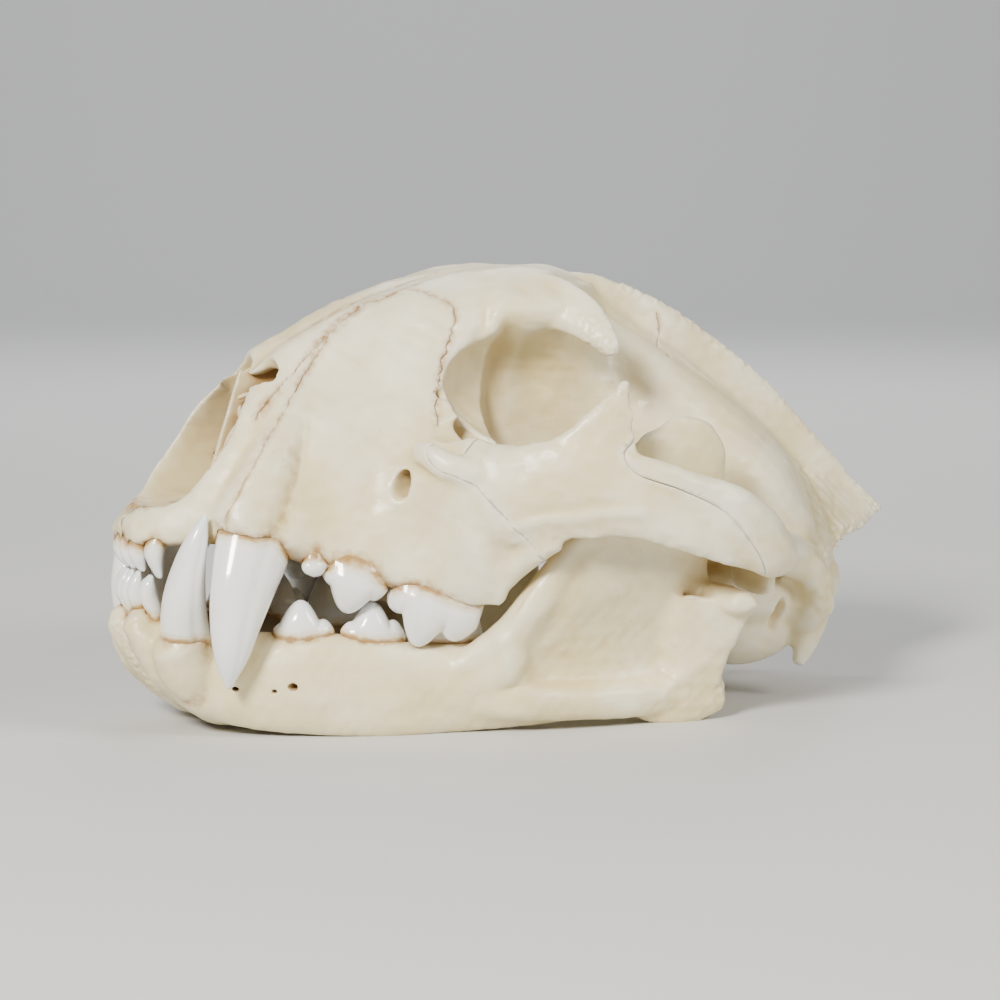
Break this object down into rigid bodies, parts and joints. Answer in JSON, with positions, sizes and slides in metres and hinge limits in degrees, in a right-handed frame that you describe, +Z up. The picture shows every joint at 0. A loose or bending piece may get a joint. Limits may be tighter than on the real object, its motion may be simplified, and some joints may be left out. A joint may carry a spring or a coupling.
{
  "type": "cougar skull",
  "caption": "Cougar skull, life size: domed cranium with full arches, long canines and closed two-part lower jaw, resting on its jaw's lower edges.",
  "frame": {"origin": "bottom centre of the bounding box, on the table under the middle of the skull", "axes": "-X the nose, +X the back of the skull, -Y the skull's left side, +Z up from the table"},
  "size_m": [0.2056, 0.1404, 0.105],
  "materials": {
    "bone": "dry cleaned bone, warm cream, soft sheen"
  },
  "bodies": {
    "root": {"cranium": "bone", "jugal_left": "bone", "jugal_right": "bone", "mandible_left": "bone", "mandible_right": "bone"}
  },
  "joints": []
}
